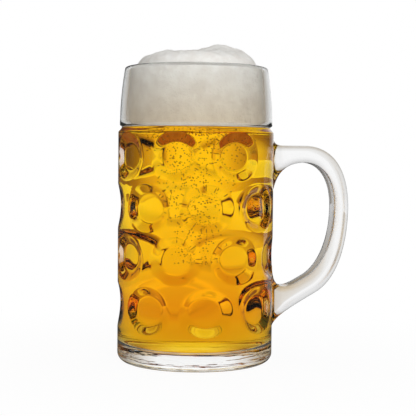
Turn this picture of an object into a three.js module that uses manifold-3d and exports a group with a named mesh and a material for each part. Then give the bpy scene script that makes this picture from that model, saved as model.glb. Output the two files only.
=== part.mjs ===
// Dimpled one-litre glass tankard, filled with beer under a head of foam.
// Millimetres, +Z up. The origin is on the mug's axis, on the plane that it stands on,
// and the handle points along +X.

import * as THREE from 'three';
import { mergeVertices } from 'three/addons/utils/BufferGeometryUtils.js';
import Module from 'manifold-3d';

// Blown body: heights and radii
const mugHeight = 201.4;
const bodyRadius = 53.4;
const wallThickness = 5.2;
const floorThickness = 10.8;
const floorFillet = 9;
const heelRadius = 6;

// Underside: a shallow dish inside a flat standing ring
const dishDepth = 1;
const dishRadius = 35;
const dishSlope = 3;

// Plain drinking band above a groove: a little narrower than the body, and drawn in towards the lip
const bandHeight = 42;
const bandInset = 1;
const bandDraw = 3.2;
const grooveDepth = 1.7;
const grooveHalfWidth = 2.35;
const lipThickness = 4;

// Dimples: staggered rows round the wall like bricks, bulging softly inside. Outside, a flank drops
// to a flatter disc; the disc's share of the width and the bowl's share of the depth set the form
const dimpleRows = 4;
const dimpleColumns = 8;
const ridgeBetweenColumns = 5.4;
const ridgeBetweenRows = 2;
const dimpleDepth = 3.4;
const dimpleDisc = 0.6;
const dimpleBowl = 0.45;
const bulgeDepth = 2.2;
const dimpleZoneBottom = 22.2;

// Handle: a pressed bar stuck to the hot wall at two spread roots
const fingerGap = 43.4;
const gripThickness = 10;
const armThickness = 11.7;
const lowerArmThickness = 13;
const handleWidth = 21;
const handleEdgeRound = 4.2;
const armBelowGroove = 10.6;
const armLength = 22.4;
const elbowHeight = 46.7;
const elbowReach = 30.6;
const lowerArmSlope = 0.583;
const upperRootRise = 5.5;
const upperRootDrop = 20.5;
const upperRootFillet = 6.5;
const lowerRootTop = 65.7;
const lowerRootBottom = 22.7;
const lowerRootFillet = 12.6;
const lowerRootInnerFillet = 18.6;
const rootFlare = 0.3;
const rootFlareReach = 9;

// Bends of the handle: how square the shoulder is, how far up the grip is widest, how wide the elbow sweeps
const shoulderSquareness = 0.62;
const gripMiddle = 0.585;
const gripSweep = 0.39;
const elbowSweep = 1.5;

// Contents: the beer stands to the groove, and the foam mounds up over the lip
const foamRise = 12;
const foamShoulder = 6;
const moundInset = 3.5;
const foamLumps = [
  { x: 14, y: -3, height: 6, spread: 13 },
  { x: -22, y: -8, height: 1.6, spread: 6 },
  { x: -6, y: 18, height: 2, spread: 12 },
  { x: 24, y: -22, height: 1.4, spread: 9 },
];

// Gaps between pieces that touch on the real mug
const handleGap = 0.3;
const contentsGap = 0.3;

// Facets: a dimple's brick is a grid with as many steps across as up,
// and the dimple's edge is drawn round on one ring of that grid
const dimpleSteps = 8;
const dimpleEdgeRing = 0.75;
const facetsAround = dimpleColumns * dimpleSteps;
const bulgeSteps = 4;
const filletSteps = 3;
const grooveSteps = 4;
const lipSteps = 4;
const bandSteps = 3;
const handleSteps = 7;
const handleEdgeSteps = 3;
const handleWidthSteps = 2;
const moundRings = [1, 0.95, 0.84, 0.66, 0.43, 0.2, 0];
const mergeDistance = 1e-4;

const grooveHeight = mugHeight - bandHeight;
const dimpleZoneTop = grooveHeight - grooveHalfWidth;
const rowPitch = (dimpleZoneTop - dimpleZoneBottom) / dimpleRows;
const columnAngle = (2 * Math.PI) / dimpleColumns;
const dimpleAcross = 1 - ridgeBetweenColumns / (bodyRadius * columnAngle);
const dimpleUp = 1 - ridgeBetweenRows / rowPitch;
const cavityRadius = bodyRadius - wallThickness;
const lipRound = lipThickness / 2;
const lipHeight = mugHeight - lipRound;
const lipRadius = bodyRadius - bandInset - bandDraw;
const beerLevel = grooveHeight;

const wasm = await Module();
wasm.setup();

// Outside radius of the wall before dimpling: straight, notched by the groove, set back and drawn in
// at the band.
function outerRadius(height) {
  const fromGroove = THREE.MathUtils.clamp((height - grooveHeight) / grooveHalfWidth, -1, 1);
  const notch = grooveDepth * (1 - fromGroove ** 2);
  const setBack = (bandInset * (1 + fromGroove)) / 2;
  const upBand = Math.max(0, (height - grooveHeight) / (lipHeight - grooveHeight));
  return bodyRadius - notch - setBack - bandDraw * upBand ** 2;
}

// Inside radius of the wall before bulging: it follows the band in to the thin lip.
function innerRadius(height) {
  const upBand = Math.max(0, (height - grooveHeight) / (lipHeight - grooveHeight));
  return cavityRadius - (cavityRadius - lipRadius + lipThickness) * upBand ** 2;
}

// The wall is plain behind the handle: beside its upper root and straight below it.
// Rows count from the bottom and are staggered, with a column behind the handle in even rows.
function isBareBehindHandle(row, column) {
  const turnsFromHandle = Math.abs(column - dimpleColumns * Math.round(column / dimpleColumns));
  return row === dimpleRows - 1 ? turnsFromHandle < 1 : turnsFromHandle === 0;
}

// The brick of wall round one dimple that a place lies in, and where in the brick, from -1 to 1.
function brickAt(angle, height) {
  const rowsUp = Math.floor((height - dimpleZoneBottom) / rowPitch);
  const row = THREE.MathUtils.clamp(rowsUp, 0, dimpleRows - 1);
  const stagger = (row % 2) / 2;
  const column = Math.round(angle / columnAngle - stagger) + stagger;
  const middleAngle = column * columnAngle;
  const middleHeight = dimpleZoneBottom + (row + 0.5) * rowPitch;
  const across = (angle - middleAngle) / (columnAngle / 2);
  const up = (height - middleHeight) / (rowPitch / 2);
  return { bare: isBareBehindHandle(row, column), middleAngle, middleHeight, across, up };
}

// Outside wall: the brick's square rings of facets become round ones, and those in the dimple
// sink down its flank to its disc.
function dimpledPlace(angle, height) {
  const brick = brickAt(angle, height);
  if (brick.bare) {
    return { angle, height, inwards: 0 };
  }
  const ring = Math.max(Math.abs(brick.across), Math.abs(brick.up));
  const inDimple = Math.min(1, ring / dimpleEdgeRing);
  const onRidge = Math.max(0, (ring - dimpleEdgeRing) / (1 - dimpleEdgeRing));
  const round = Math.atan2(brick.up, brick.across);
  const across = THREE.MathUtils.lerp(inDimple * dimpleAcross * Math.cos(round), brick.across, onRidge);
  const up = THREE.MathUtils.lerp(inDimple * dimpleUp * Math.sin(round), brick.up, onRidge);
  const flank = Math.min(1, (1 - inDimple) / (1 - dimpleDisc));
  const bowl = 1 - inDimple ** 2;
  return {
    angle: brick.middleAngle + (across * columnAngle) / 2,
    height: brick.middleHeight + (up * rowPitch) / 2,
    inwards: dimpleDepth * THREE.MathUtils.lerp(flank, bowl, dimpleBowl),
  };
}

// Inside wall: a soft bulge behind each dimple.
function bulgedPlace(angle, height) {
  const brick = brickAt(angle, height);
  const away = (brick.across / dimpleAcross) ** 2 + (brick.up / dimpleUp) ** 2;
  const inwards = brick.bare ? 0 : bulgeDepth * Math.max(0, 1 - away) ** 2;
  return { angle, height, inwards };
}

// Heights from one end to the other, both ends included.
function heights(from, to, steps) {
  return Array.from({ length: steps + 1 }, (_, step) => from + ((to - from) * step) / steps);
}

// Quarter or half round in a profile, in degrees, both ends included.
function roundPoints(centreRadius, centreHeight, radius, fromDegrees, toDegrees, steps) {
  return heights(fromDegrees, toDegrees, steps).map((degrees) => {
    const angle = THREE.MathUtils.degToRad(degrees);
    return [centreRadius + radius * Math.cos(angle), centreHeight + radius * Math.sin(angle)];
  });
}

// Solid of revolution about Z from [radius, height] points that start and end on the axis.
// A point may carry a third entry, the function that shapes the wall there.
function revolve(points) {
  const profile = points.map(([radius, height]) => new THREE.Vector2(radius, height));
  const geometry = new THREE.LatheGeometry(profile, facetsAround);
  geometry.rotateX(Math.PI / 2);
  const position = geometry.attributes.position;
  for (let index = 0; index < position.count; index += 1) {
    const shape = points[index % points.length][2];
    if (shape) {
      const x = position.getX(index);
      const y = position.getY(index);
      const place = shape(Math.atan2(y, x), position.getZ(index));
      const radius = Math.hypot(x, y) - place.inwards;
      position.setXYZ(index, radius * Math.cos(place.angle), radius * Math.sin(place.angle), place.height);
    }
  }
  geometry.computeVertexNormals();
  return geometry;
}

// Inside wall from the floor's centre up to a height, with a gap to the glass for what fills it.
function cavityPoints(top, gap) {
  const floor = floorThickness + gap;
  const radius = cavityRadius - gap;
  const fillet = roundPoints(radius - floorFillet, floor + floorFillet, floorFillet, -90, 0, filletSteps);
  const wall = heights(dimpleZoneBottom, dimpleZoneTop, dimpleRows * bulgeSteps);
  const bulged = wall.map((height) => [radius, height, bulgedPlace]);
  const band = heights(beerLevel, lipHeight, bandSteps).filter((height) => height < top);
  return [
    [0, floor],
    ...fillet,
    ...bulged,
    ...band.map((height) => [innerRadius(height) - gap, height]),
    [innerRadius(top) - gap, top],
  ];
}

// The blown body: underside dish, standing ring, heel, dimpled wall, groove, band and round lip.
function glassBody() {
  const ringRadius = bodyRadius - heelRadius;
  const heel = roundPoints(ringRadius, heelRadius, heelRadius, -90, 0, filletSteps);
  const wall = heights(dimpleZoneBottom, dimpleZoneTop, dimpleRows * dimpleSteps);
  const groove = heights(dimpleZoneTop, grooveHeight + grooveHalfWidth, grooveSteps).slice(1);
  const band = heights(grooveHeight + grooveHalfWidth, lipHeight, bandSteps).slice(1, -1);
  const lip = roundPoints(lipRadius - lipRound, lipHeight, lipRound, 0, 180, lipSteps);
  const inside = cavityPoints(lipHeight, 0).slice(0, -1).reverse();
  return revolve([
    [0, dishDepth],
    [dishRadius, dishDepth],
    [dishRadius + dishSlope, 0],
    ...heel,
    ...wall.map((height) => [bodyRadius, height, dimpledPlace]),
    ...groove.map((height) => [outerRadius(height), height]),
    ...band.map((height) => [outerRadius(height), height]),
    ...lip,
    ...inside,
  ]);
}

// The beer fills the cavity up to the groove.
function beer() {
  return revolve([...cavityPoints(beerLevel, contentsGap), [0, beerLevel]]);
}

// Height that the lumps of foam add over a place on the mound.
function foamLump(x, y) {
  return foamLumps.reduce((sum, lump) => {
    const away = Math.hypot(x - lump.x, y - lump.y) / lump.spread;
    return sum + lump.height * Math.exp(-(away ** 2));
  }, 0);
}

// The foam fills the band above the beer and stands over the lip in a lumpy, flat-topped mound.
function foamHead() {
  const bottom = beerLevel + contentsGap;
  const rim = innerRadius(lipHeight) - contentsGap;
  const side = heights(bottom, lipHeight, bandSteps);
  const mound = moundRings.map((share) => {
    const height = lipHeight + foamRise * Math.sqrt(1 - share ** foamShoulder);
    return [(rim - moundInset) * share, height];
  });
  const geometry = revolve([
    [0, bottom],
    ...side.map((height) => [innerRadius(height) - contentsGap, height]),
    ...mound,
  ]);
  const position = geometry.attributes.position;
  for (let index = 0; index < position.count; index += 1) {
    const x = position.getX(index);
    const y = position.getY(index);
    const z = position.getZ(index);
    if (z > lipHeight) {
      position.setZ(index, z + foamLump(x, y) * (1 - Math.hypot(x, y) / rim));
    }
  }
  geometry.computeVertexNormals();
  return geometry;
}

// Side view of the handle: along the outside from the upper root to the lower one, and back inside.
function handleOutline() {
  const core = bodyRadius - 3 * handleEdgeRound;
  const armTop = grooveHeight - armBelowGroove;
  const armUnderside = armTop - armThickness;
  const armEnd = bodyRadius + armLength;
  const gripInside = bodyRadius + fingerGap;
  const gripOutside = gripInside + gripThickness;
  const gripHeight = elbowHeight + (armTop - elbowHeight) * gripMiddle;
  const lowerArm = new THREE.Vector2(1, lowerArmSlope).normalize();
  const elbow = new THREE.Vector2(bodyRadius + elbowReach, elbowHeight);
  const innerElbow = new THREE.Vector2(
    elbow.x - lowerArmThickness * lowerArm.y,
    elbow.y + lowerArmThickness * lowerArm.x,
  );
  const lowerEdge = (x) => elbow.y + (x - elbow.x) * lowerArmSlope;
  const upperEdge = (x) => innerElbow.y + (x - innerElbow.x) * lowerArmSlope;
  const outerFilletEnd = bodyRadius + lowerRootFillet;
  const innerFilletEnd = bodyRadius + lowerRootInnerFillet;
  const gripLow = gripHeight - gripSweep * (gripHeight - elbowHeight);
  const outerSweep = lowerArm.clone().multiplyScalar(elbowSweep * lowerArmThickness).add(elbow);
  const innerSweep = lowerArm.clone().multiplyScalar(lowerArmThickness).add(innerElbow);

  const outline = new THREE.Shape();
  outline.moveTo(core, armTop + upperRootRise);
  outline.lineTo(bodyRadius, armTop + upperRootRise);
  outline.quadraticCurveTo(bodyRadius, armTop, bodyRadius + upperRootFillet, armTop);
  outline.lineTo(armEnd, armTop);
  outline.bezierCurveTo(
    armEnd + shoulderSquareness * (gripOutside - armEnd), armTop,
    gripOutside, gripHeight + shoulderSquareness * (armTop - gripHeight),
    gripOutside, gripHeight,
  );
  outline.bezierCurveTo(gripOutside, gripLow, outerSweep.x, outerSweep.y, elbow.x, elbow.y);
  outline.lineTo(outerFilletEnd, lowerEdge(outerFilletEnd));
  outline.quadraticCurveTo(bodyRadius, lowerEdge(bodyRadius), bodyRadius, lowerRootBottom);
  outline.lineTo(core, lowerRootBottom);
  outline.lineTo(core, lowerRootTop);
  outline.lineTo(bodyRadius, lowerRootTop);
  outline.quadraticCurveTo(bodyRadius, upperEdge(bodyRadius), innerFilletEnd, upperEdge(innerFilletEnd));
  outline.lineTo(innerElbow.x, innerElbow.y);
  outline.bezierCurveTo(innerSweep.x, innerSweep.y, gripInside, gripLow, gripInside, gripHeight);
  outline.bezierCurveTo(
    gripInside, gripHeight + shoulderSquareness * (armUnderside - gripHeight),
    armEnd + shoulderSquareness * (gripInside - armEnd), armUnderside,
    armEnd, armUnderside,
  );
  outline.quadraticCurveTo(
    bodyRadius + upperRootFillet / 2, armUnderside,
    bodyRadius, armUnderside - upperRootDrop,
  );
  outline.lineTo(core, armUnderside - upperRootDrop);
  return outline;
}

// Closed mesh as a solid for cutting: shared corners are merged and flat triangles dropped.
function solidOf(geometry) {
  geometry.deleteAttribute('normal');
  geometry.deleteAttribute('uv');
  const merged = mergeVertices(geometry, mergeDistance);
  const corners = merged.index.array;
  const triangles = [];
  for (let first = 0; first < corners.length; first += 3) {
    const [a, b, c] = corners.slice(first, first + 3);
    if (a !== b && b !== c && c !== a) {
      triangles.push(a, b, c);
    }
  }
  return new wasm.Manifold(new wasm.Mesh({
    numProp: 3,
    vertProperties: new Float32Array(merged.attributes.position.array),
    triVerts: new Uint32Array(triangles),
  }));
}

// The handle's bar has rounded edges. Its ends flare where they are stuck on. They lap round the wall,
// so that a root is as tall beside the middle as in it, and are shaped to the wall.
function handle() {
  const bar = new THREE.ExtrudeGeometry(handleOutline(), {
    depth: handleWidth - 2 * handleEdgeRound,
    steps: handleWidthSteps,
    bevelThickness: handleEdgeRound,
    bevelSize: handleEdgeRound,
    bevelOffset: -handleEdgeRound,
    bevelSegments: handleEdgeSteps,
    curveSegments: handleSteps,
  });
  bar.translate(0, 0, handleEdgeRound - handleWidth / 2);
  bar.rotateX(Math.PI / 2);
  const position = bar.attributes.position;
  for (let index = 0; index < position.count; index += 1) {
    const x = position.getX(index);
    const inFlare = THREE.MathUtils.clamp(1 - (x - bodyRadius) / rootFlareReach, 0, 1);
    const y = position.getY(index) * (1 + rootFlare * inFlare ** 2);
    const lap = bodyRadius - Math.sqrt(bodyRadius ** 2 - y ** 2);
    const towardsWall = THREE.MathUtils.clamp(1 - (x - bodyRadius) / fingerGap, 0, 1);
    position.setX(index, x - lap * towardsWall);
    position.setY(index, y);
  }
  const wallRadius = bodyRadius + handleGap;
  const wall = new THREE.CylinderGeometry(wallRadius, wallRadius, 2 * mugHeight, facetsAround);
  wall.rotateX(Math.PI / 2);
  const cut = solidOf(bar).subtract(solidOf(wall)).getMesh();
  const geometry = new THREE.BufferGeometry();
  geometry.setAttribute('position', new THREE.BufferAttribute(cut.vertProperties, cut.numProp));
  geometry.setIndex(new THREE.BufferAttribute(cut.triVerts, 1));
  geometry.computeVertexNormals();
  return geometry;
}

// A sub-part: its name, its shape and the finish seen on the real piece.
function piece(name, geometry, finish) {
  const mesh = new THREE.Mesh(geometry, new THREE.MeshStandardMaterial(finish));
  mesh.name = name;
  return mesh;
}

const clearGlass = { color: 0xeef2f0, roughness: 0.04, metalness: 0, transparent: true, opacity: 0.35 };
const amberBeer = { color: 0xf0a810, roughness: 0.08, metalness: 0, transparent: true, opacity: 0.8 };
const whiteFoam = { color: 0xf1ede4, roughness: 0.9, metalness: 0 };

const tankard = new THREE.Group();
tankard.add(
  piece('glass_body', glassBody(), clearGlass),
  piece('handle', handle(), clearGlass),
  piece('beer', beer(), amberBeer),
  piece('foam_head', foamHead(), whiteFoam),
);

export default tankard;
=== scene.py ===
import math
import random

import bmesh
import bpy
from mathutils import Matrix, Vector, noise


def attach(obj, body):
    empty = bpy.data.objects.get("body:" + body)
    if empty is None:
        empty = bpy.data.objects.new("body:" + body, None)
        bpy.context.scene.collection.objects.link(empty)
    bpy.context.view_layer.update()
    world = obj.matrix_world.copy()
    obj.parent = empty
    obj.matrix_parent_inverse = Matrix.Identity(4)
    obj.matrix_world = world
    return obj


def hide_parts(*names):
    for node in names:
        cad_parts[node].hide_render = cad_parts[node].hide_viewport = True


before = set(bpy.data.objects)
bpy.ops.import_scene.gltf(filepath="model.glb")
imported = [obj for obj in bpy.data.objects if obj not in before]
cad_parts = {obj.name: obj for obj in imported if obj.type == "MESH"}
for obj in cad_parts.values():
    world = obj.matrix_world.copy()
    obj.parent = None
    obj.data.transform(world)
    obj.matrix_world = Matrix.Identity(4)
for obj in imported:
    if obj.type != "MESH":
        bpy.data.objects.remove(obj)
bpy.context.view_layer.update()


# Glass body
# One gather of clear soda-lime glass, blown into a mould that dimples the wall in staggered rows.
# The plain band above the groove is drawn in to a fire-polished lip. The floor is thick and dished below.
mm = 0.001
hair = 1e-3
weld_distance = 1e-4
mug_height = 201.4
body_radius = 53.4
wall_thickness = 5.2
cavity_radius = body_radius - wall_thickness
near_wall = 0.5
floor_thickness = 10.8
floor_fillet = 9.0
floor_steps = 6
floor_share = 0.95
fillet_steps = 12
heel_radius = 6.0
heel_steps = 10
heel_wall_gap = 2.0
heel_wall_steps = 4
dish_depth = 1.0
dish_radius = 35.0
dish_steps = 4
dish_edge = ((1.2, 0.8), (2.0, 0.35))
standing_ring_radius = 38.0
band_height = 42.0
band_steps = 12
groove_height = mug_height - band_height
groove_half_width = 2.35
groove_depth = 1.7
groove_deepest = 0.45
groove_flank = 1.5
groove_steps = 12
band_inset = 1.0
band_draw = 3.2
lip_thickness = 4.0
lip_round = lip_thickness / 2
lip_height = mug_height - lip_round
lip_radius = body_radius - band_inset - band_draw
lip_steps = 14
dimple_rows = 4
dimple_columns = 8
dimple_zone_bottom = 22.2
dimple_zone_top = groove_height - groove_half_width
row_pitch = (dimple_zone_top - dimple_zone_bottom) / dimple_rows
column_angle = 2 * math.pi / dimple_columns
column_ridge = 5.4
row_ridge = 2.0
dimple_across = 1 - column_ridge / (body_radius * column_angle)
dimple_up = 1 - row_ridge / row_pitch
dimple_depth = 3.4
dimple_disc = 0.64
disc_bowl = 0.2
flank_round = 0.6
rim_softness = 0.06
disc_softness = 0.08
bulge_depth = 2.2
steps_per_dimple = 40
edge_ring = 0.75
tiny_ring = 1e-6
bulge_steps = 12


def linear(hex_colour):
    levels = [int(hex_colour[place:place + 2], 16) / 255 for place in (1, 3, 5)]
    return [level / 12.92 if level <= 0.04045 else ((level + 0.055) / 1.055) ** 2.4
            for level in levels] + [1.0]


def add_node(tree, kind, inputs=None, **settings):
    added = tree.nodes.new(kind)
    for setting, value in settings.items():
        setattr(added, setting, value)
    for socket, value in (inputs or {}).items():
        if isinstance(value, bpy.types.NodeSocket):
            tree.links.new(value, added.inputs[socket])
        else:
            added.inputs[socket].default_value = value
    return added


def new_material(name):
    material = bpy.data.materials.new(name)
    material.use_nodes = True
    material.node_tree.nodes.clear()
    return material, material.node_tree


def set_ramp(ramp_node, *marks):
    elements = ramp_node.color_ramp.elements
    while len(elements) < len(marks):
        elements.new(0.5)
    for element, (position, colour) in zip(elements, marks):
        element.position = position
        element.color = linear(colour)


def between(start, end, steps):
    return [start + (end - start) * step / steps for step in range(steps + 1)]


def arc(centre_radius, centre_height, radius, from_degrees, to_degrees, steps):
    turns = [math.radians(degrees) for degrees in between(from_degrees, to_degrees, steps)]
    return [(centre_radius + radius * math.cos(turn), centre_height + radius * math.sin(turn))
            for turn in turns]


# A profile is turned through one column of dimples first, and that wedge is then repeated round the axis.
def turned(profile):
    bm = bmesh.new()
    chain = [bm.verts.new((radius, 0, height)) for radius, height in profile]
    edges = [bm.edges.new(pair) for pair in zip(chain, chain[1:])]
    bmesh.ops.spin(bm, geom=chain + edges, cent=(0, 0, 0), axis=(0, 0, 1), angle=column_angle,
                   steps=steps_per_dimple)
    wedge = bm.verts[:] + bm.edges[:] + bm.faces[:]
    bmesh.ops.spin(bm, geom=wedge, cent=(0, 0, 0), axis=(0, 0, 1), angle=2 * math.pi - column_angle,
                   steps=dimple_columns - 1, use_duplicate=True)
    bmesh.ops.remove_doubles(bm, verts=bm.verts, dist=weld_distance)
    bmesh.ops.recalc_face_normals(bm, faces=bm.faces)
    return bm


def finished(bm, name, *materials):
    bmesh.ops.scale(bm, vec=(mm, mm, mm), verts=bm.verts)
    for face in bm.faces:
        face.smooth = True
    mesh = bpy.data.meshes.new(name)
    bm.to_mesh(mesh)
    bm.free()
    for material in materials:
        mesh.materials.append(material)
    made = bpy.data.objects.new(name, mesh)
    bpy.context.collection.objects.link(made)
    return made


def band_share(height):
    return max(0.0, (height - groove_height) / (lip_height - groove_height))


# The groove is a notch that is deepest a little above its middle, and the band above it is set back.
def outer_radius(height):
    from_groove = min(1.0, max(-1.0, (height - groove_height) / groove_half_width))
    from_deepest = from_groove - groove_deepest
    from_deepest /= 1 - groove_deepest if from_deepest > 0 else 1 + groove_deepest
    notch = groove_depth * (1 - from_deepest ** 2) ** groove_flank
    set_back = band_inset * (1 + from_groove) / 2
    return body_radius - notch - set_back - band_draw * band_share(height) ** 2


def inner_radius(height):
    return cavity_radius - (cavity_radius - lip_radius + lip_thickness) * band_share(height) ** 2


# The wall is plain behind the handle: beside its upper root and straight below it.
def is_plain(row, column):
    from_handle = abs(column - dimple_columns * round(column / dimple_columns))
    return from_handle < 1 if row == dimple_rows - 1 else from_handle == 0


def soft_step(value, softness):
    if abs(value) > softness:
        return max(0.0, value)
    return (value + softness) ** 2 / (4 * softness)


# The brick of wall round one dimple that a place lies in, and where in the brick, from -1 to 1.
def brick_at(angle, height):
    row = min(dimple_rows - 1, max(0, math.floor((height - dimple_zone_bottom) / row_pitch)))
    stagger = (row % 2) / 2
    column = round(angle / column_angle - stagger) + stagger
    middle_height = dimple_zone_bottom + (row + 0.5) * row_pitch
    across = (angle - column * column_angle) / (column_angle / 2)
    up = (height - middle_height) / (row_pitch / 2)
    return is_plain(row, column), column * column_angle, middle_height, across, up


# Outside, a brick's square rings of faces are drawn round up to the dimple's rim, and from there they widen
# to the brick's border again. Inside the rim a rounded flank drops to a flatter disc.
def dimpled(angle, height):
    plain, middle_angle, middle_height, across, up = brick_at(angle, height)
    if plain:
        return angle, height, 0.0
    ring = max(abs(across), abs(up), tiny_ring)
    in_dimple = min(1.0, ring / edge_ring)
    on_ridge = max(0.0, (ring - edge_ring) / (1 - edge_ring))
    turn = math.atan2(up, across)
    across = (1 - on_ridge) * in_dimple * dimple_across * math.cos(turn) + on_ridge * across / ring
    up = (1 - on_ridge) * in_dimple * dimple_up * math.sin(turn) + on_ridge * up / ring
    away = math.hypot(across / dimple_across, up / dimple_up)
    flank = (1 - away) / (1 - dimple_disc)
    flank = soft_step(flank, rim_softness) - soft_step(flank - 1, disc_softness)
    flank *= 1 - flank_round + flank_round * flank
    bowl = soft_step(1 - away ** 2, rim_softness)
    sunk = dimple_depth * ((1 - disc_bowl) * flank + disc_bowl * bowl)
    return middle_angle + across * column_angle / 2, middle_height + up * row_pitch / 2, sunk


# Inside, the wall bulges softly behind each dimple.
def bulged(angle, height):
    plain, _, _, across, up = brick_at(angle, height)
    away = (across / dimple_across) ** 2 + (up / dimple_up) ** 2
    return angle, height, 0.0 if plain else bulge_depth * max(0.0, 1 - away) ** 2


def shape_wall(bm, wall_radius, shape):
    for vert in bm.verts:
        radius = math.hypot(vert.co.x, vert.co.y)
        in_zone = dimple_zone_bottom - hair < vert.co.z < dimple_zone_top + hair
        if in_zone and abs(radius - wall_radius) < near_wall:
            angle, height, sunk = shape(math.atan2(vert.co.y, vert.co.x), vert.co.z)
            vert.co = ((radius - sunk) * math.cos(angle), (radius - sunk) * math.sin(angle), height)


# The cavity from the middle of its floor up to a height, or a skin that lies proud of it, inside the wall.
def cavity_profile(top, proud):
    radius = cavity_radius + proud
    floor_edge = cavity_radius - floor_fillet
    floor = [(share * floor_edge, floor_thickness - proud) for share in between(0, floor_share, floor_steps)]
    fillet = arc(floor_edge, floor_thickness + floor_fillet, floor_fillet + proud, -90, 0, fillet_steps)
    wall = between(dimple_zone_bottom, dimple_zone_top, dimple_rows * bulge_steps)
    band = [height for height in between(groove_height, lip_height, band_steps) if height < top - near_wall]
    return (floor + fillet + [(radius, height) for height in wall]
            + [(inner_radius(height) + proud, height) for height in band + [top]])


groove_top = groove_height + groove_half_width
outside = [(share * dish_radius, dish_depth) for share in between(0, 1, dish_steps)]
outside += [(dish_radius + out, height) for out, height in dish_edge]
outside += [(standing_ring_radius, 0.0)]
outside += arc(body_radius - heel_radius, heel_radius, heel_radius, -90, 0, heel_steps)
outside += [(body_radius, height)
            for height in between(heel_radius + heel_wall_gap, dimple_zone_bottom, heel_wall_steps)]
outside += [(body_radius, height)
            for height in between(dimple_zone_bottom, dimple_zone_top, dimple_rows * steps_per_dimple)[1:]]
outside += [(outer_radius(height), height)
            for height in between(dimple_zone_top, groove_top, groove_steps)[1:]]
outside += [(outer_radius(height), height)
            for height in between(groove_top, lip_height, band_steps)[1:-1]]
outside += arc(lip_radius - lip_round, lip_height, lip_round, 0, 180, lip_steps)
glass_bm = turned(outside + cavity_profile(lip_height, 0)[:-1][::-1])
shape_wall(glass_bm, body_radius, dimpled)
shape_wall(glass_bm, cavity_radius, bulged)

# Clear soda-lime glass, blown and fire-polished: colourless and glossy, faintly wavy from the mould,
# and streaked near the heel where the mould dragged it. Where the eye meets it at a slant it has
# a painted grey shade, for the darker edges that glass shows.
glass_ior = 1.52
wave_length = 18 * mm
wave_depth = 0.6 * mm
wave_strength = 0.12
streak_length = 22 * mm
streak_height = 2.2 * mm
streak_depth = 0.8 * mm
streak_strength = 0.5
streaks_full = 7 * mm
streaks_end = 12 * mm
clear_glass, tree = new_material("soda_lime_glass")
place = add_node(tree, "ShaderNodeTexCoord")
slant = add_node(tree, "ShaderNodeLayerWeight", {"Blend": 0.5})
# Painted shade: the glass turns grey where the eye meets it at a slant.
painted_slant_shade = add_node(tree, "ShaderNodeValToRGB", {"Fac": slant.outputs["Facing"]})
set_ramp(painted_slant_shade, (0.45, "#FDFEFE"), (1.0, "#8F9290"))
waves = add_node(tree, "ShaderNodeTexNoise", {
    "Vector": place.outputs["Object"], "Scale": 1 / wave_length, "Detail": 1.0})
low = add_node(tree, "ShaderNodeSeparateXYZ", {"Vector": place.outputs["Object"]})
near_heel = add_node(tree, "ShaderNodeMapRange", {
    "Value": low.outputs["Z"], "From Min": streaks_full, "From Max": streaks_end,
    "To Min": 1.0, "To Max": 0.0})
streaks = add_node(tree, "ShaderNodeMapping", {
    "Vector": place.outputs["Object"], "Scale": (1 / streak_length, 1 / streak_length, 1 / streak_height)})
drag = add_node(tree, "ShaderNodeTexNoise", {
    "Vector": streaks.outputs["Vector"], "Scale": 1.0, "Detail": 2.0})
drag = add_node(tree, "ShaderNodeMath", {
    0: drag.outputs["Fac"], 1: near_heel.outputs["Result"]}, operation="MULTIPLY")
wavy = add_node(tree, "ShaderNodeBump", {
    "Height": waves.outputs["Fac"], "Strength": wave_strength, "Distance": wave_depth})
wavy = add_node(tree, "ShaderNodeBump", {
    "Height": drag.outputs["Value"], "Strength": streak_strength, "Distance": streak_depth,
    "Normal": wavy.outputs["Normal"]})
glass_shader = add_node(tree, "ShaderNodeBsdfPrincipled", {
    "Base Color": painted_slant_shade.outputs["Color"], "Roughness": 0.01, "IOR": glass_ior,
    "Transmission Weight": 1.0, "Normal": wavy.outputs["Normal"]})
add_node(tree, "ShaderNodeOutputMaterial", {"Surface": glass_shader.outputs["BSDF"]})

# The same glass where beer or wet froth lies on it: light passes straight from glass to beer, which bend it
# almost alike, so this face bends it only by the ratio of the two and hardly shines.
beer_ior = 1.34
wet_glass, tree = new_material("beer_wetted_glass")
place = add_node(tree, "ShaderNodeTexCoord")
waves = add_node(tree, "ShaderNodeTexNoise", {
    "Vector": place.outputs["Object"], "Scale": 1 / wave_length, "Detail": 1.0})
wet_tint = add_node(tree, "ShaderNodeValToRGB", {"Fac": waves.outputs["Fac"]})
set_ramp(wet_tint, (0.0, "#FBFCFB"), (1.0, "#FFFFFF"))
wet_shader = add_node(tree, "ShaderNodeBsdfPrincipled", {
    "Base Color": wet_tint.outputs["Color"], "Roughness": 0.0, "IOR": glass_ior / beer_ior,
    "Transmission Weight": 1.0})
add_node(tree, "ShaderNodeOutputMaterial", {"Surface": wet_shader.outputs["BSDF"]})

# Just above the beer, a narrow ring of the wall is wetted by the froth.
beer_level = groove_height
wet_ring_height = 4.0
wet_level = beer_level + wet_ring_height
for face in glass_bm.faces:
    middle = face.calc_center_median()
    in_cavity = math.hypot(middle.x, middle.y) < cavity_radius + near_wall
    if in_cavity and floor_thickness - near_wall < middle.z < wet_level:
        face.material_index = 1
glass_body = finished(glass_bm, "tankard_body", clear_glass, wet_glass)
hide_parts("glass_body")
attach(glass_body, "root")


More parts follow.
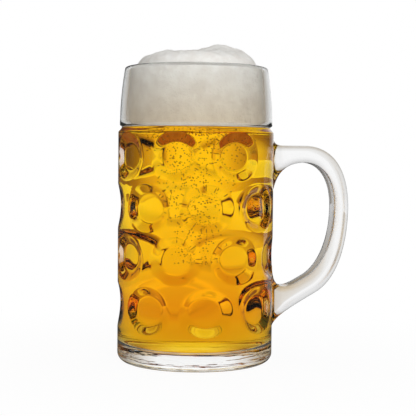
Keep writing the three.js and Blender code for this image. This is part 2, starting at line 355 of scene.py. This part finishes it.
# Handle
# A bar of the same glass, pressed with rounded edges and stuck to the hot wall at both ends,
# where it spreads into two roots.
finger_gap = 43.4
grip_thickness = 10.0
arm_thickness = 11.7
lower_arm_thickness = 13.0
handle_width = 21.0
handle_edge_round = 4.2
edge_segments = 8
flat_width = handle_width - 2 * handle_edge_round
flat_slack = 0.1
flat_cuts = 7
arm_below_groove = 10.6
arm_length = 22.4
elbow_height = 46.7
elbow_reach = 30.6
lower_arm_slope = 0.583
upper_root_rise = 5.5
upper_root_drop = 20.5
upper_root_fillet = 6.5
lower_root_top = 65.7
lower_root_bottom = 22.7
lower_root_fillet = 12.6
lower_root_inner_fillet = 18.6
root_sink = 0.15
root_flare = 0.3
root_flare_reach = 9.0
shoulder_squareness = 0.62
grip_middle = 0.585
grip_sweep = 0.39
elbow_sweep = 1.5
arm_top = groove_height - arm_below_groove
arm_underside = arm_top - arm_thickness
arm_end = body_radius + arm_length
grip_inside = body_radius + finger_gap
grip_outside = grip_inside + grip_thickness
elbow = Vector((body_radius + elbow_reach, elbow_height))
grip_height = elbow.y + (arm_top - elbow.y) * grip_middle
grip_low = grip_height - grip_sweep * (grip_height - elbow.y)
lower_arm = Vector((1, lower_arm_slope)).normalized()
inner_elbow = elbow + lower_arm_thickness * Vector((-lower_arm.y, lower_arm.x))


# A smooth line from the first point to the last, which the points between pull towards them.
# The first point itself is left out, as the line before ends there.
def bend(*points, steps):
    last = len(points) - 1
    line = []
    for along in between(0, 1, steps)[1:]:
        weights = [math.comb(last, nth) * (1 - along) ** (last - nth) * along ** nth
                   for nth in range(last + 1)]
        line.append([sum(weight * point[axis] for weight, point in zip(weights, points)) for axis in (0, 1)])
    return line


def on_lower_edge(x):
    return x, elbow.y + (x - elbow.x) * lower_arm_slope


def on_upper_edge(x):
    return x, inner_elbow.y + (x - inner_elbow.x) * lower_arm_slope


root_face = body_radius - root_sink
root_top = (root_face, arm_top + upper_root_rise)
fillet_end = body_radius + upper_root_fillet
outer_sweep = elbow + elbow_sweep * lower_arm_thickness * lower_arm
inner_sweep = inner_elbow + lower_arm_thickness * lower_arm
inner_arm_start = on_upper_edge(body_radius + lower_root_inner_fillet)
outer_line = [root_top]
outer_line += bend(root_top, (body_radius, arm_top), (fillet_end, arm_top), steps=10)
outer_line += bend((fillet_end, arm_top), (arm_end, arm_top), steps=4)
outer_line += bend(
    (arm_end, arm_top), (arm_end + shoulder_squareness * (grip_outside - arm_end), arm_top),
    (grip_outside, grip_height + shoulder_squareness * (arm_top - grip_height)),
    (grip_outside, grip_height), steps=24)
outer_line += bend((grip_outside, grip_height), (grip_outside, grip_low), outer_sweep, elbow, steps=20)
outer_line += bend(
    elbow, on_lower_edge(body_radius + lower_root_fillet), on_lower_edge(body_radius),
    (root_face, lower_root_bottom), steps=16)
inner_line = [(root_face, lower_root_top)]
inner_line += bend((root_face, lower_root_top), on_upper_edge(body_radius), inner_arm_start, steps=12)
inner_line += bend(inner_arm_start, inner_elbow, steps=3)
inner_line += bend(inner_elbow, inner_sweep, (grip_inside, grip_low), (grip_inside, grip_height), steps=20)
inner_line += bend(
    (grip_inside, grip_height),
    (grip_inside, grip_height + shoulder_squareness * (arm_underside - grip_height)),
    (arm_end + shoulder_squareness * (grip_inside - arm_end), arm_underside),
    (arm_end, arm_underside), steps=24)
inner_line += bend(
    (arm_end, arm_underside), (body_radius + upper_root_fillet / 2, arm_underside),
    (root_face, arm_underside - upper_root_drop), steps=16)

handle_bm = bmesh.new()
side_face = handle_bm.faces.new(
    [handle_bm.verts.new((x, -handle_width / 2, z)) for x, z in outer_line + inner_line])
pulled = bmesh.ops.extrude_face_region(handle_bm, geom=[side_face])
bmesh.ops.translate(handle_bm, vec=(0, handle_width, 0),
                    verts=[item for item in pulled["geom"] if isinstance(item, bmesh.types.BMVert)])
bmesh.ops.recalc_face_normals(handle_bm, faces=handle_bm.faces)
long_edges = [edge for edge in handle_bm.edges
              if edge.verts[0].co.y == edge.verts[1].co.y
              and max(vert.co.x for vert in edge.verts) > root_face + hair]
bmesh.ops.bevel(handle_bm, geom=long_edges, offset=handle_edge_round, offset_type="OFFSET", affect="EDGES",
                segments=edge_segments, profile=0.5, material=-1, clamp_overlap=False)
flat_edges = [edge for edge in handle_bm.edges
              if abs(edge.verts[0].co.y - edge.verts[1].co.y) > flat_width - flat_slack]
bmesh.ops.subdivide_edges(handle_bm, edges=flat_edges, cuts=flat_cuts, use_grid_fill=True)
bmesh.ops.triangulate(handle_bm, faces=[face for face in handle_bm.faces if len(face.verts) > 4])

# The rounded edges run past the roots, so they are cut back to the roots' plane and closed again.
for vert in handle_bm.verts:
    vert.co.x = max(vert.co.x, root_face)
cut_back = [face for face in handle_bm.faces
            if max(abs(vert.co.x - root_face) for vert in face.verts) < hair]
bmesh.ops.delete(handle_bm, geom=cut_back, context="FACES")
bmesh.ops.dissolve_degenerate(handle_bm, dist=hair, edges=handle_bm.edges)
root_edges = [edge for edge in handle_bm.edges if edge.is_boundary]
root_faces = bmesh.ops.holes_fill(handle_bm, edges=root_edges, sides=0)["faces"]
for edge in root_edges:
    edge.smooth = False
for face in root_faces:
    face.material_index = 1
bmesh.ops.triangulate(handle_bm, faces=root_faces)
bmesh.ops.recalc_face_normals(handle_bm, faces=handle_bm.faces)

# The bar flares towards the wall and laps round it.
for vert in handle_bm.verts:
    flared = vert.co.y * (1 + root_flare * max(0.0, 1 - (vert.co.x - root_face) / root_flare_reach) ** 2)
    lap = body_radius - math.sqrt(body_radius ** 2 - flared ** 2)
    vert.co.x -= lap * min(1.0, max(0.0, 1 - (vert.co.x - body_radius) / finger_gap))
    vert.co.y = flared

# The same clear glass, but solid and thick, with a painted grey shade: light grey face on and darker
# towards its rounded sides, where the eye meets them at a slant, as such a bar looks grey beside the white
# sweep.
bar_glass, tree = new_material("pressed_glass_bar")
place = add_node(tree, "ShaderNodeTexCoord")
slant = add_node(tree, "ShaderNodeLayerWeight", {"Blend": 0.5})
# Painted shade: light grey face on, and darker where the eye meets the bar at a slant.
painted_slant_shade = add_node(tree, "ShaderNodeValToRGB", {"Fac": slant.outputs["Facing"]})
set_ramp(painted_slant_shade, (0.0, "#F5F5F5"), (0.15, "#ECECEC"), (0.4, "#D0D0D0"), (0.75, "#B8B8B8"),
         (0.9, "#5A5A5A"))
waves = add_node(tree, "ShaderNodeTexNoise", {
    "Vector": place.outputs["Object"], "Scale": 1 / wave_length, "Detail": 1.0})
wavy = add_node(tree, "ShaderNodeBump", {
    "Height": waves.outputs["Fac"], "Strength": wave_strength, "Distance": wave_depth})
bar_shader = add_node(tree, "ShaderNodeBsdfPrincipled", {
    "Base Color": painted_slant_shade.outputs["Color"], "Roughness": 0.01, "IOR": glass_ior,
    "Transmission Weight": 1.0, "Normal": wavy.outputs["Normal"]})
add_node(tree, "ShaderNodeOutputMaterial", {"Surface": bar_shader.outputs["BSDF"]})

# Fused glass, where the roots are stuck on: bar and wall are one there, so light that is already inside the
# glass goes on without bending, and it is glossy only where the eye meets it first.
fused_glass, tree = new_material("fused_glass_joint")
place = add_node(tree, "ShaderNodeTexCoord")
waves = add_node(tree, "ShaderNodeTexNoise", {
    "Vector": place.outputs["Object"], "Scale": 1 / wave_length, "Detail": 1.0})
joint_tint = add_node(tree, "ShaderNodeValToRGB", {"Fac": waves.outputs["Fac"]})
set_ramp(joint_tint, (0.0, "#F6F8F6"), (1.0, "#FFFFFF"))
joint_skin = add_node(tree, "ShaderNodeBsdfPrincipled", {
    "Base Color": joint_tint.outputs["Color"], "Roughness": 0.01, "IOR": glass_ior,
    "Transmission Weight": 1.0})
joint_inside = add_node(tree, "ShaderNodeBsdfTransparent", {"Color": joint_tint.outputs["Color"]})
path = add_node(tree, "ShaderNodeLightPath")
joint_surface = add_node(tree, "ShaderNodeMixShader", {
    0: path.outputs["Is Camera Ray"], 1: joint_inside.outputs["BSDF"], 2: joint_skin.outputs["BSDF"]})
add_node(tree, "ShaderNodeOutputMaterial", {"Surface": joint_surface.outputs["Shader"]})

handle = finished(handle_bm, "tankard_handle", bar_glass, fused_glass)
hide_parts("handle")
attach(handle, "root")

# The wall's own skin under the roots, short of their thin tips and edges, is fused too.
joint_edge = 0.8
lower_root_tips = (3.0, 5.0)
upper_root_tips = (6.5, 3.5)
joint_reach = handle_width / 2 * (1 + root_flare) - joint_edge
joint_heights = (
    (lower_root_bottom + lower_root_tips[0], lower_root_top - lower_root_tips[1]),
    (arm_underside - upper_root_drop + upper_root_tips[0], arm_top + upper_root_rise - upper_root_tips[1]))
glass_body.data.materials.append(fused_glass)
for face in glass_body.data.polygons:
    middle = face.center / mm
    outside_wall = middle.xy.length > body_radius - joint_edge
    if outside_wall and middle.x > 0 and abs(middle.y) < joint_reach:
        if any(bottom < middle.z < top for bottom, top in joint_heights):
            face.material_index = 2


# Beer
# Clear amber lager filled up to the groove. It is a liquid that wets the glass, so that its skin lies
# just inside the wall and leaves no gap.
wet_overlap = 0.1
surface_rings = (0.9, 0.6, 0.3, 0.0)
beer_profile = cavity_profile(beer_level, wet_overlap)
beer_profile += [(share * inner_radius(beer_level), beer_level) for share in surface_rings]
beer_bm = turned(beer_profile)
shape_wall(beer_bm, cavity_radius, bulged)

# Filtered lager: a bright liquid that swallows blue light first, so that it deepens from yellow to orange.
# The wetted glass has already bent the light that comes through it, so the beer's skin only tints it.
absorption_per_metre = 64.0
low_band_bottom = 10 * mm
low_band_top = 110 * mm
slant_start = 13 * mm
slant_full = 26 * mm
lager, tree = new_material("filtered_lager")
place = add_node(tree, "ShaderNodeTexCoord")
depth = add_node(tree, "ShaderNodeSeparateXYZ", {"Vector": place.outputs["Object"]})
# The beer is tinted warmer in a band low down, set by height alone.
low_band = add_node(tree, "ShaderNodeMapRange", {
    "Value": depth.outputs["Z"], "From Min": low_band_bottom, "From Max": low_band_top})
height_tint = add_node(tree, "ShaderNodeValToRGB", {"Fac": low_band.outputs["Result"]})
set_ramp(height_tint, (0.1, "#FFFFFF"), (0.25, "#FFEAD2"), (0.6, "#FFF8EC"), (1.0, "#FFFFFF"))
# Painted shade: above the floor, the beer's skin turns orange-brown where the eye meets it at a slant, for
# the darker edges of the beer.
slant = add_node(tree, "ShaderNodeLayerWeight", {"Blend": 0.5})
above_floor = add_node(tree, "ShaderNodeMapRange", {
    "Value": depth.outputs["Z"], "From Min": slant_start, "From Max": slant_full,
    "To Max": slant.outputs["Facing"]})
painted_slant_shade = add_node(tree, "ShaderNodeValToRGB", {"Fac": above_floor.outputs["Result"]})
set_ramp(painted_slant_shade, (0.45, "#FFFFFF"), (1.0, "#C98A50"))
# The tint by height and the painted slant shade, together.
beer_tint_and_painted_shade = add_node(tree, "ShaderNodeMix", {
    "Factor": 1.0, 6: height_tint.outputs["Color"], 7: painted_slant_shade.outputs["Color"]},
    data_type="RGBA", blend_type="MULTIPLY")
beer_shader = add_node(tree, "ShaderNodeBsdfPrincipled", {
    "Base Color": beer_tint_and_painted_shade.outputs[2], "Roughness": 0.0, "IOR": beer_ior, "Transmission Weight": 1.0})
beer_film = add_node(tree, "ShaderNodeBsdfTransparent", {"Color": beer_tint_and_painted_shade.outputs[2]})
path = add_node(tree, "ShaderNodeLightPath")
beer_surface = add_node(tree, "ShaderNodeMixShader", {
    0: path.outputs["Is Camera Ray"], 1: beer_film.outputs["BSDF"], 2: beer_shader.outputs["BSDF"]})
beer_depth = add_node(tree, "ShaderNodeVolumeAbsorption", {
    "Color": linear("#FFF300"), "Density": absorption_per_metre})
add_node(tree, "ShaderNodeOutputMaterial", {
    "Surface": beer_surface.outputs["Shader"], "Volume": beer_depth.outputs["Volume"]})

beer = finished(beer_bm, "beer_fill", lager)
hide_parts("beer")
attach(beer, "root")


# Bubbles
# Carbon dioxide that rises through the beer in a loose plume near the front wall.
# The plume is widest and thickest under the foam.
bubble_count = 850
bubble_radii = (0.28, 0.46)
plume_seed = 11
plume_place = Vector((-3, -21))
plume_limit = 42.0
plume_radius = 14.0
plume_spread = 24.0
plume_depth = 88.0
plume_flatness = 2.0
plume_top = beer_level - 3.0
thinning_down = 1.7
thinning_out = 0.6
chance = random.Random(plume_seed)
ball_bm = bmesh.new()
bmesh.ops.create_uvsphere(ball_bm, u_segments=8, v_segments=6, radius=1.0)
ball = bpy.data.meshes.new("ball")
ball_bm.to_mesh(ball)
ball_bm.free()
ball_corners = len(ball.vertices)
bubbles_bm = bmesh.new()
for _ in range(bubble_count):
    turn = chance.uniform(0, 2 * math.pi)
    sunk = chance.random() ** thinning_down
    away = (plume_radius + plume_spread * (1 - sunk) ** 2) * chance.random() ** thinning_out
    middle = plume_place + Vector((away * math.cos(turn), away * math.sin(turn) / plume_flatness))
    middle *= min(1.0, plume_limit / middle.length)
    height = plume_top - plume_depth * sunk
    radius = chance.uniform(*bubble_radii)
    bubbles_bm.from_mesh(ball)
    for vert in bubbles_bm.verts[-ball_corners:]:
        vert.co = vert.co * radius + Vector((middle.x, middle.y, height))

# Gas in beer: each bubble throws the light aside, and a painted dark amber shade darkens it further,
# so that it looks like a dark amber speck.
speck_drift = 6 * mm
bubble_gas, tree = new_material("bubble_gas")
place = add_node(tree, "ShaderNodeTexCoord")
grain = add_node(tree, "ShaderNodeTexNoise", {"Vector": place.outputs["Object"], "Scale": 1 / speck_drift})
# Painted shade: dark amber, varying at random from bubble to bubble.
painted_bubble_shade = add_node(tree, "ShaderNodeValToRGB", {"Fac": grain.outputs["Fac"]})
set_ramp(painted_bubble_shade, (0.0, "#5A3C0C"), (1.0, "#8A6420"))
bubble_shader = add_node(tree, "ShaderNodeBsdfPrincipled", {
    "Base Color": painted_bubble_shade.outputs["Color"], "Roughness": 0.05, "IOR": 1 / beer_ior,
    "Transmission Weight": 1.0})
add_node(tree, "ShaderNodeOutputMaterial", {"Surface": bubble_shader.outputs["BSDF"]})

bubbles = finished(bubbles_bm, "beer_bubbles", bubble_gas)
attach(bubbles, "root")


# Foam head
# Fine froth that fills the band and stands over the lip in a lumpy mound.
# Low down it lies close to the wall, and above the wet ring it has shrunk away a little and is ragged.
foam_gap = 0.3
side_gap = 1.5
foam_rise = 12.0
foam_shoulder = 6
mound_inset = 3.5
base_edge_round = 1
rim_margin = 1
mound_edge = 0.1
base_steps = 8
ring_steps = 3
side_steps = 40
mound_steps = 48
rag_size = 2.5
rag_depth = 0.02
rag_detail = (1.0, 2.0, 3)
lump_size = 7.0
lump_height = 0.9
lump_detail = (1.0, 2.2, 4)
lump_fade = 4.0
mound_fade = 2.2
# Each big lump: its place to the right and to the back, its height and its spread.
foam_lumps = ((14, -3, 5.6, 13), (31, -6, 3.0, 9), (-22, -8, 1.4, 5), (-38, -8, -2.5, 8), (-6, 18, 2.0, 12))
foam_bottom = beer_level - wet_overlap
rim = inner_radius(lip_height) - foam_gap
foam_profile = [(share * (cavity_radius - foam_gap), foam_bottom) for share in between(0, 1, base_steps)]
foam_profile += [(inner_radius(height) - foam_gap, height)
                 for height in between(foam_bottom + base_edge_round, wet_level, ring_steps)]
foam_profile += [(inner_radius(height) - foam_gap - side_gap * (1 - band_share(height)), height)
                 for height in between(wet_level + foam_gap, lip_height, side_steps)]
foam_profile += [((rim - mound_inset) * share,
                  lip_height + foam_rise * math.sqrt(1 - share ** foam_shoulder))
                 for share in between(1, 0, mound_steps)]
foam_bm = turned(foam_profile)
for vert in foam_bm.verts:
    if wet_level < vert.co.z < lip_height - rim_margin:
        ragged = 1 - rag_depth * abs(noise.fractal(vert.co / rag_size, *rag_detail))
        vert.co.x *= ragged
        vert.co.y *= ragged
    if vert.co.z > lip_height + mound_edge:
        inward = max(0.0, 1 - vert.co.xy.length / rim)
        lumps = sum(rise * math.exp(-((vert.co.x - x) ** 2 + (vert.co.y - y) ** 2) / spread ** 2)
                    for x, y, rise, spread in foam_lumps)
        rough = lump_height * noise.fractal(vert.co / lump_size, *lump_detail)
        vert.co.z += lumps * min(1.0, mound_fade * inward) + rough * min(1.0, lump_fade * inward)

# Beer froth: matt and white, warmer towards the beer, amber where it is soaked and where painted amber light
# that comes up through the beer falls on its underside, and pitted by its bubbles.
# The pits are drawn coarser than real ones so that they show.
cell_size = 1.1 * mm
pit_depth = 0.5 * mm
pit_strength = 0.5
drift_size = 9 * mm
soaked_below = (beer_level + 0.3) * mm
dry_above = (beer_level + 1.0) * mm
white_above = (lip_height + 4.0) * mm
froth, tree = new_material("beer_froth")
place = add_node(tree, "ShaderNodeTexCoord")
cells = add_node(tree, "ShaderNodeTexVoronoi", {"Vector": place.outputs["Object"], "Scale": 1 / cell_size})
drift = add_node(tree, "ShaderNodeTexNoise", {
    "Vector": place.outputs["Object"], "Scale": 1 / drift_size, "Detail": 4.0})
froth_tint = add_node(tree, "ShaderNodeValToRGB", {"Fac": drift.outputs["Fac"]})
set_ramp(froth_tint, (0.35, "#E6E2DC"), (0.65, "#F2F1ED"))
depth = add_node(tree, "ShaderNodeSeparateXYZ", {"Vector": place.outputs["Object"]})
soak = add_node(tree, "ShaderNodeMapRange", {
    "Value": depth.outputs["Z"], "From Min": soaked_below, "From Max": dry_above})
warmth = add_node(tree, "ShaderNodeMapRange", {
    "Value": depth.outputs["Z"], "From Min": beer_level * mm, "From Max": white_above})
warm_tint = add_node(tree, "ShaderNodeValToRGB", {"Fac": warmth.outputs["Result"]})
set_ramp(warm_tint, (0.04, "#FFFFFF"), (0.1, "#E6D8C2"), (1.0, "#FFFFFF"))
warm_froth = add_node(tree, "ShaderNodeMix", {
    "Factor": 1.0, 6: froth_tint.outputs["Color"], 7: warm_tint.outputs["Color"]},
    data_type="RGBA", blend_type="MULTIPLY")
# Soaked froth, with painted amber light from the beer, low down at the underside.
soaked_and_beer_lit_tint = add_node(tree, "ShaderNodeValToRGB", {"Fac": drift.outputs["Fac"]})
set_ramp(soaked_and_beer_lit_tint, (0.35, "#DC9A3C"), (0.65, "#FFC868"))
soaked_and_beer_lit = add_node(tree, "ShaderNodeMix", {
    "Factor": soak.outputs["Result"], 6: soaked_and_beer_lit_tint.outputs["Color"], 7: warm_froth.outputs[2]},
    data_type="RGBA")
pits = add_node(tree, "ShaderNodeBump", {
    "Height": cells.outputs["Distance"], "Strength": pit_strength, "Distance": pit_depth})
froth_shader = add_node(tree, "ShaderNodeBsdfPrincipled", {
    "Base Color": soaked_and_beer_lit.outputs[2], "Roughness": 0.85, "IOR": 1.33, "Normal": pits.outputs["Normal"]})
add_node(tree, "ShaderNodeOutputMaterial", {"Surface": froth_shader.outputs["BSDF"]})

foam_head = finished(foam_bm, "foam_mound", froth)
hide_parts("foam_head")
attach(foam_head, "root")


# Studio
# A seamless white sweep: a pale floor and a white surround, with darker cards at the sides, which draw
# the edges of the glass. Two soft boxes in front and one overhead light it.
floor_half_width = 4000
floor_bm = bmesh.new()
bmesh.ops.create_grid(floor_bm, x_segments=4, y_segments=4, size=floor_half_width)

# White paper, matt. To the eye it is white with the mug's soft shadow near its foot. Through glass it glows
# with a painted shadow and painted amber light, darker and warmer near the mug, for the mug's shade and
# the light that the beer throws. In mirror images it is dark.
fibre_size = 60 * mm
shadow_near = 50 * mm
shadow_far = 300 * mm
sweep_far = 2000 * mm
white_near_foot = 0.95
mirrored_strength = 0.08
surround_strength = 1.08
paper, tree = new_material("white_paper")
place = add_node(tree, "ShaderNodeTexCoord")
fibres = add_node(tree, "ShaderNodeTexNoise", {"Vector": place.outputs["Object"], "Scale": 1 / fibre_size})
paper_tint = add_node(tree, "ShaderNodeValToRGB", {"Fac": fibres.outputs["Fac"]})
set_ramp(paper_tint, (0.0, "#F4F4F3"), (1.0, "#F8F8F7"))
path = add_node(tree, "ShaderNodeLightPath")
paper_shader = add_node(tree, "ShaderNodeBsdfPrincipled", {
    "Base Color": paper_tint.outputs["Color"], "Roughness": 0.9, "Specular IOR Level": 0.0})
away = add_node(tree, "ShaderNodeVectorMath", {0: place.outputs["Object"]}, operation="LENGTH")
near_sweep = add_node(tree, "ShaderNodeMapRange", {
    "Value": away.outputs["Value"], "From Min": shadow_near, "From Max": shadow_far,
    "To Min": white_near_foot}, interpolation_type="SMOOTHSTEP")
far_sweep = add_node(tree, "ShaderNodeMapRange", {"Value": away.outputs["Value"], "From Max": sweep_far})
# Painted shadow and painted amber light: seen through glass, the paper glows darker and warmer near the mug.
painted_shadow_and_glow = add_node(tree, "ShaderNodeValToRGB", {"Fac": far_sweep.outputs["Result"]})
set_ramp(painted_shadow_and_glow, (0.04, "#D8C4A4"), (0.12, "#DED6CA"), (0.32, "#F0EFED"), (1.0, "#FFFFFF"))
paper_white = add_node(tree, "ShaderNodeEmission", {"Color": linear("#FFFFFF"), "Strength": 1.0})
paper_through_glass = add_node(tree, "ShaderNodeEmission", {
    "Color": painted_shadow_and_glow.outputs["Color"], "Strength": surround_strength})
paper_mirrored = add_node(tree, "ShaderNodeEmission", {
    "Color": linear("#FFFFFF"), "Strength": mirrored_strength})
to_camera = add_node(tree, "ShaderNodeMath", {
    0: path.outputs["Is Camera Ray"], 1: near_sweep.outputs["Result"]}, operation="MULTIPLY")
paper_surface = add_node(tree, "ShaderNodeMixShader", {
    0: to_camera.outputs["Value"], 1: paper_shader.outputs["BSDF"], 2: paper_white.outputs["Emission"]})
paper_surface = add_node(tree, "ShaderNodeMixShader", {
    0: path.outputs["Is Glossy Ray"], 1: paper_surface.outputs["Shader"],
    2: paper_mirrored.outputs["Emission"]})
paper_surface = add_node(tree, "ShaderNodeMixShader", {
    0: path.outputs["Is Transmission Ray"], 1: paper_surface.outputs["Shader"],
    2: paper_through_glass.outputs["Emission"]})
add_node(tree, "ShaderNodeOutputMaterial", {"Surface": paper_surface.outputs["Shader"]})
floor = finished(floor_bm, "paper_floor", paper)

world = bpy.data.worlds.new("white_surround")
bpy.context.scene.world = world
world.use_nodes = True
tree = world.node_tree
tree.nodes.clear()
path = add_node(tree, "ShaderNodeLightPath")
sweep_turn = math.radians(8)
mirror_reach = math.pi / 4
way = add_node(tree, "ShaderNodeTexCoord")
direction = add_node(tree, "ShaderNodeSeparateXYZ", {"Vector": way.outputs["Generated"]})
side = add_node(tree, "ShaderNodeMath", {
    0: direction.outputs["X"], 1: direction.outputs["Y"]}, operation="ARCTAN2")
side = add_node(tree, "ShaderNodeMath", {0: side.outputs["Value"], 1: sweep_turn}, operation="SUBTRACT")
mirror_side = add_node(tree, "ShaderNodeMapRange", {
    "Value": side.outputs["Value"], "From Min": -mirror_reach, "From Max": mirror_reach})
side = add_node(tree, "ShaderNodeMath", {0: side.outputs["Value"]}, operation="ABSOLUTE")
side = add_node(tree, "ShaderNodeMath", {0: side.outputs["Value"], 1: math.pi}, operation="DIVIDE")

# The cards stand at both sides of the sweep. A ray that has crossed more than two faces of glass has come
# through the beer, and it meets nearer and browner cards than a ray through clear glass.
faces_of_clear_glass = 2.5
clear_cards = add_node(tree, "ShaderNodeValToRGB", {"Fac": side.outputs["Value"]})
set_ramp(clear_cards, (0.11, "#FFFFFF"), (0.17, "#E4E0DA"), (0.24, "#BDB6AC"), (0.4, "#B0A89E"),
         (0.47, "#ECECEC"))
beer_cards = add_node(tree, "ShaderNodeValToRGB", {"Fac": side.outputs["Value"]})
set_ramp(beer_cards, (0.03, "#FFFFFF"), (0.08, "#E2CEB2"), (0.14, "#A88A64"), (0.22, "#80643C"),
         (0.4, "#7A6040"), (0.47, "#F0E4D0"))
through_beer = add_node(tree, "ShaderNodeMath", {
    0: path.outputs["Transmission Depth"], 1: faces_of_clear_glass}, operation="GREATER_THAN")
cards = add_node(tree, "ShaderNodeMix", {
    "Factor": through_beer.outputs["Value"], 6: clear_cards.outputs["Color"],
    7: beer_cards.outputs["Color"]}, data_type="RGBA")
height_ramp = add_node(tree, "ShaderNodeValToRGB", {"Fac": direction.outputs["Z"]})
set_ramp(height_ramp, (0.04, "#FFFFFF"), (0.3, "#F0F0F0"), (0.6, "#E8E8E8"), (0.8, "#F4F4F4"))
back_light = add_node(tree, "ShaderNodeMix", {
    "Factor": 1.0, 6: cards.outputs[2], 7: height_ramp.outputs["Color"]},
    data_type="RGBA", blend_type="MULTIPLY")
surround = add_node(tree, "ShaderNodeBackground", {
    "Color": back_light.outputs[2], "Strength": surround_strength})

# The soft boxes don't shine through the glass, so the froth behind it gets its light from the surround,
# most from the front, some from the back and hardly any from the sides.
front_strength = 3.8
side_strength = 0.1
back_strength = 2.4
side_reach = 0.2
no_bounce = 0.5
front_fill = add_node(tree, "ShaderNodeMapRange", {
    "Value": direction.outputs["Y"], "From Min": -1.0, "From Max": -side_reach,
    "To Min": front_strength, "To Max": side_strength})
back_fill = add_node(tree, "ShaderNodeMapRange", {
    "Value": direction.outputs["Y"], "From Min": side_reach, "From Max": 1.0,
    "To Min": side_strength, "To Max": back_strength})
fill = add_node(tree, "ShaderNodeMath", {
    0: front_fill.outputs["Result"], 1: back_fill.outputs["Result"]}, operation="MAXIMUM")
froth_light = add_node(tree, "ShaderNodeBackground", {
    "Color": linear("#FFFFFF"), "Strength": fill.outputs["Value"]})
from_froth = add_node(tree, "ShaderNodeMath", {
    0: path.outputs["Diffuse Depth"], 1: no_bounce}, operation="GREATER_THAN")
through_glass = add_node(tree, "ShaderNodeMixShader", {
    0: from_froth.outputs["Value"], 1: surround.outputs["Background"], 2: froth_light.outputs["Background"]})

# In mirror images the room is dark but for one white strip at the right of the sweep.
ambient_strength = 0.35
mirror_ramp = add_node(tree, "ShaderNodeValToRGB", {"Fac": mirror_side.outputs["Result"]})
set_ramp(mirror_ramp, (0.2, "#464646"), (0.48, "#202020"), (0.52, "#FFFFFF"), (0.7, "#FFFFFF"),
         (1.0, "#464646"))
room = add_node(tree, "ShaderNodeBackground", {"Color": mirror_ramp.outputs["Color"], "Strength": 1.0})
ambient = add_node(tree, "ShaderNodeBackground", {
    "Color": linear("#FFFFFF"), "Strength": ambient_strength})
white = add_node(tree, "ShaderNodeBackground", {"Color": linear("#FFFFFF"), "Strength": 1.0})
mirrored = add_node(tree, "ShaderNodeMixShader", {
    0: path.outputs["Is Glossy Ray"], 1: ambient.outputs["Background"], 2: room.outputs["Background"]})
lit = add_node(tree, "ShaderNodeMixShader", {
    0: path.outputs["Is Transmission Ray"], 1: mirrored.outputs["Shader"],
    2: through_glass.outputs["Shader"]})
shown = add_node(tree, "ShaderNodeMixShader", {
    0: path.outputs["Is Camera Ray"], 1: lit.outputs["Shader"], 2: white.outputs["Background"]})
add_node(tree, "ShaderNodeOutputWorld", {"Surface": shown.outputs["Shader"]})


def soft_box(name, place, target, size, watts):
    light = bpy.data.lights.new(name, "AREA")
    light.shape = "RECTANGLE"
    light.size, light.size_y = size
    light.energy = watts
    lamp = bpy.data.objects.new(name, light)
    lamp.location = place
    lamp.rotation_euler = (Vector(target) - Vector(place)).to_track_quat("-Z", "Y").to_euler()
    lamp.visible_glossy = False
    lamp.visible_transmission = False
    bpy.context.collection.objects.link(lamp)


soft_box("key_box", place=(0.2, -1.2, 0.8), target=(0, 0, 0.15), size=(0.5, 0.2), watts=3.4)
soft_box("front_box", place=(0.1, -1.3, 0.3), target=(0, 0, 0.15), size=(0.4, 0.4), watts=6.8)
soft_box("top_box", place=(0.0, 0.1, 1.3), target=(0, 0, 0.1), size=(1.0, 1.0), watts=2.6)


# Camera
# A long lens a little above the middle of the mug, with the handle turned slightly away.
# It leans by half a degree, as the photographed mug does.
view_turn = -sweep_turn
stand_off = 0.757
camera_height = 0.1382
camera_roll = math.radians(0.5)
aim_sideways = 0.0086
aim_height = 0.1052
across = Vector((math.cos(view_turn), math.sin(view_turn), 0))
camera_place = Vector((math.sin(view_turn) * stand_off, -math.cos(view_turn) * stand_off, camera_height))
aim = across * aim_sideways + Vector((0, 0, aim_height))
lens = bpy.data.cameras.new("camera")
lens.sensor_width = 36
lens.lens = 94.9
camera = bpy.data.objects.new("camera", lens)
camera.location = camera_place
camera.rotation_euler = (aim - camera_place).to_track_quat("-Z", "Y").to_euler()
camera.rotation_euler.rotate_axis("Z", camera_roll)
bpy.context.collection.objects.link(camera)
bpy.context.scene.camera = camera
bpy.context.scene.view_settings.view_transform = "Standard"
